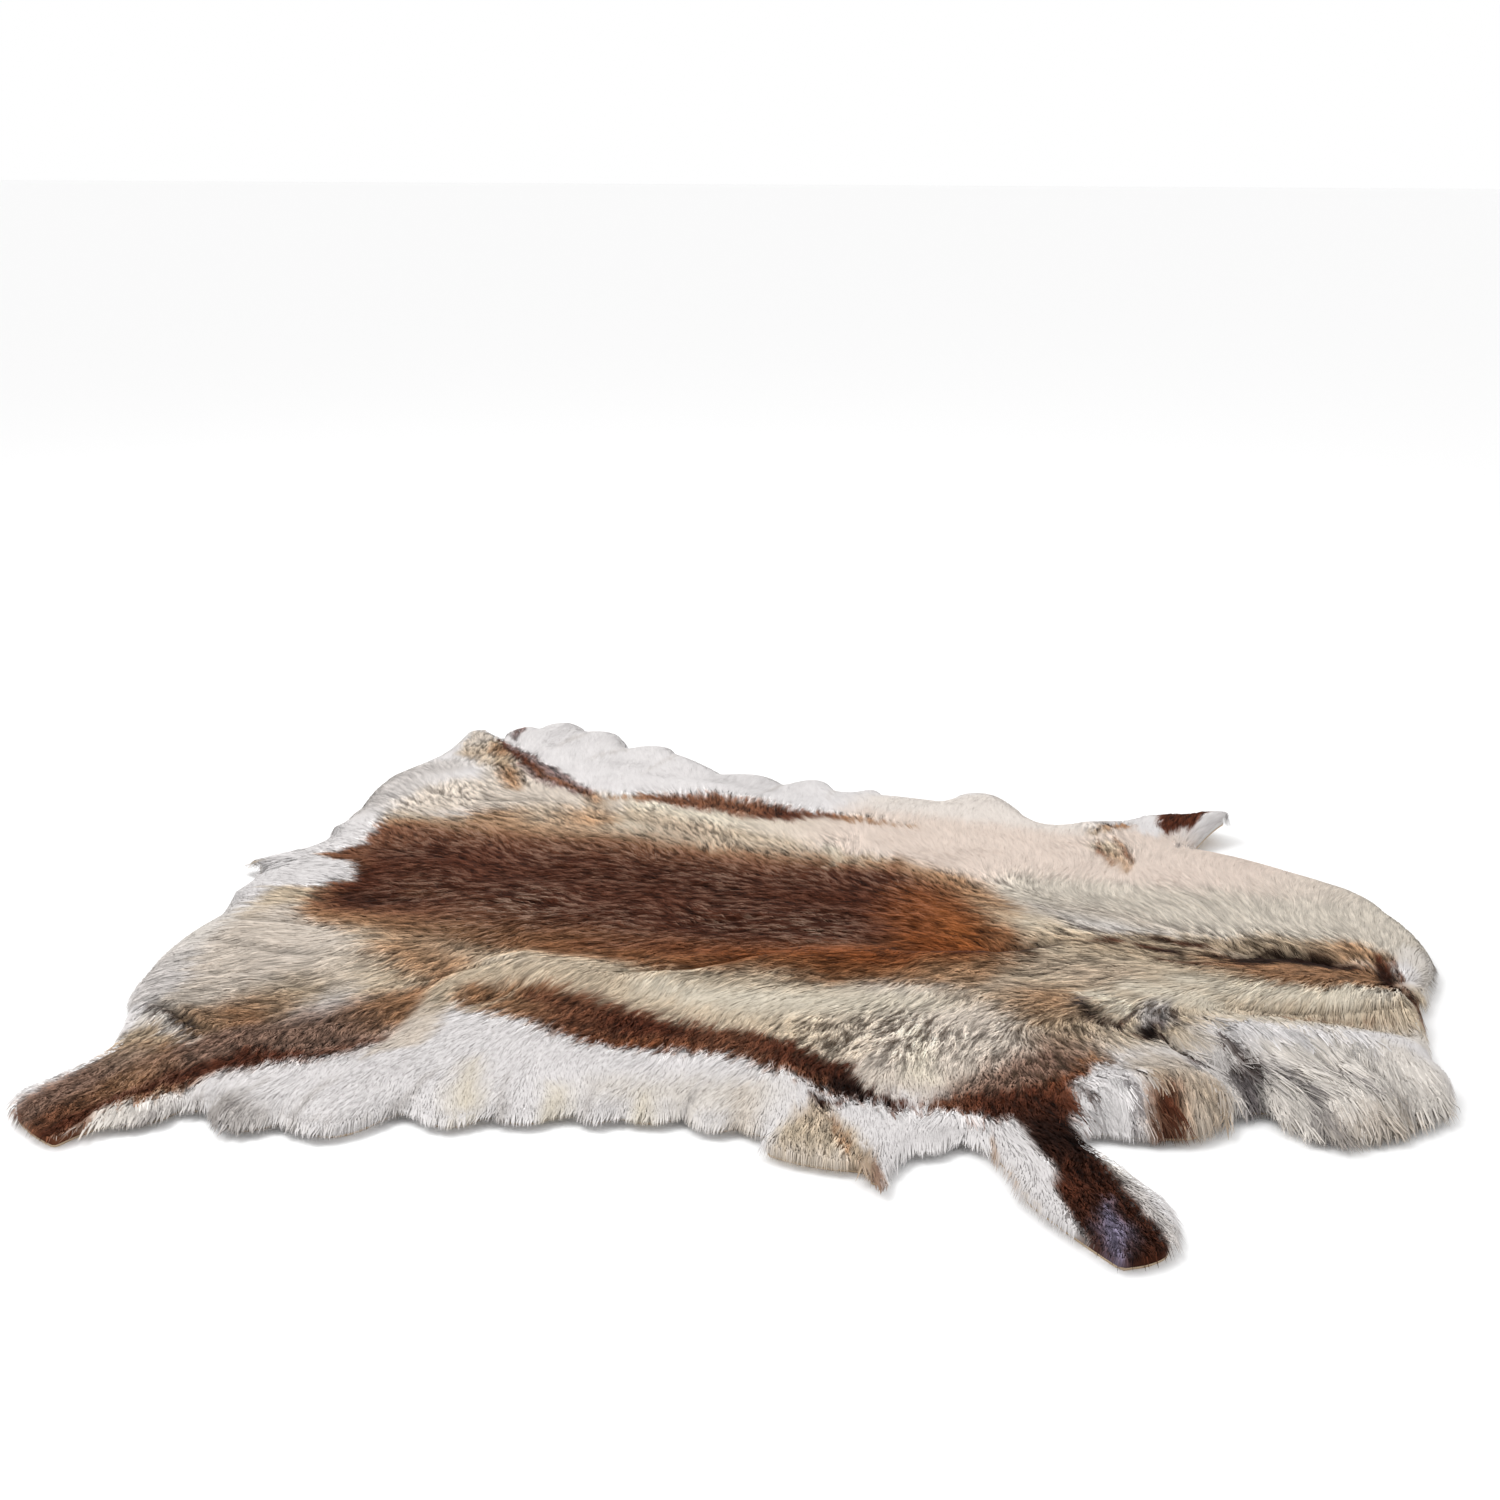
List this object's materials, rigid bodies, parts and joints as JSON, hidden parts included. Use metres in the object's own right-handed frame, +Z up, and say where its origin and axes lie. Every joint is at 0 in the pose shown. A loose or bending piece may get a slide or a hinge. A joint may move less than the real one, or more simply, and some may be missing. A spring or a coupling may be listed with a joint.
{
  "type": "reindeer hide",
  "caption": "Whole tanned reindeer hide with its hair on, laid flat hair side up, with tail, four leg ends, scalloped belly edges and a long-haired mane.",
  "frame": {"origin": "middle of the hide's box in plan, on the surface that it lies on", "axes": "+X along the spine from the tail to the neck, +Y to the animal's left, +Z up out of the hair side"},
  "size_m": [1.3312, 1.255, 0.0426],
  "materials": {
    "coat": "dense soft reindeer hair, dark brown saddle, grey-beige flanks and white belly",
    "leather": "pale matte suede flesh side"
  },
  "bodies": {
    "root": {"hide": "coat"}
  },
  "joints": []
}
